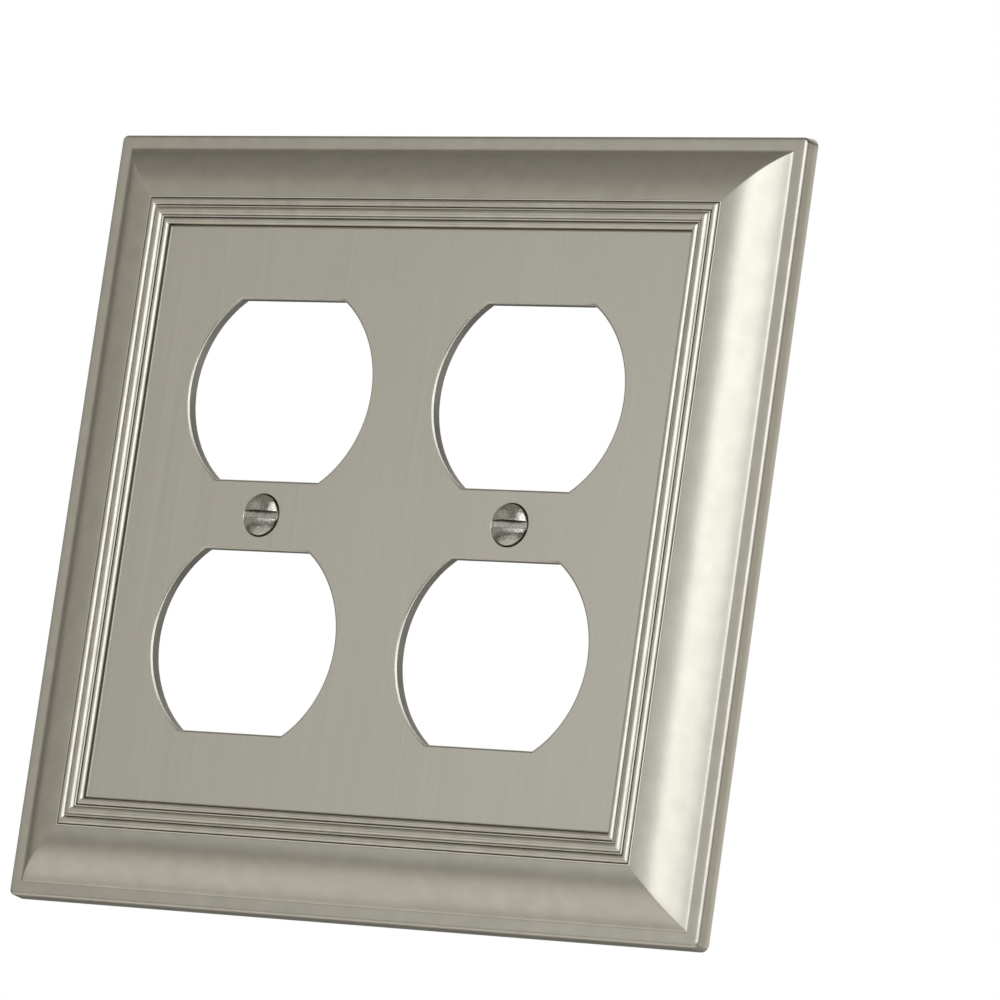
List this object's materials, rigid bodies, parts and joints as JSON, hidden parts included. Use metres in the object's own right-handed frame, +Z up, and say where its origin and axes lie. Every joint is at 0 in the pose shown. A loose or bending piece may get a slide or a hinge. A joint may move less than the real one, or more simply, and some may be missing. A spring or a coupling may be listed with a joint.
{
  "type": "wall plate",
  "caption": "Decorative metal wall plate for duplex receptacles side by side, with a stepped and crowned moulding, a brushed flat panel and slotted oval-head screws.",
  "frame": {"origin": "centre of the plate in the wall plane, midway between the two screws", "axes": "+Z up as installed, +X to the right seen from the room, +Y into the wall, so the decorated front faces -Y"},
  "size_m": [0.128, 0.0201, 0.121],
  "materials": {
    "plate_nickel": "brushed satin nickel plate",
    "screw_nickel": "bright nickel plate"
  },
  "bodies": {
    "plate": {"wall_plate": "plate_nickel"},
    "left_screw": {"left_screw": "screw_nickel"},
    "right_screw": {"right_screw": "screw_nickel"}
  },
  "joints": [
    {"name": "left_screw_out", "type": "slide", "parent": "plate", "child": "left_screw", "axis": [0, -1, 0], "range_m": [0, 0.02]},
    {"name": "right_screw_out", "type": "slide", "parent": "plate", "child": "right_screw", "axis": [0, -1, 0], "range_m": [0, 0.02]}
  ]
}
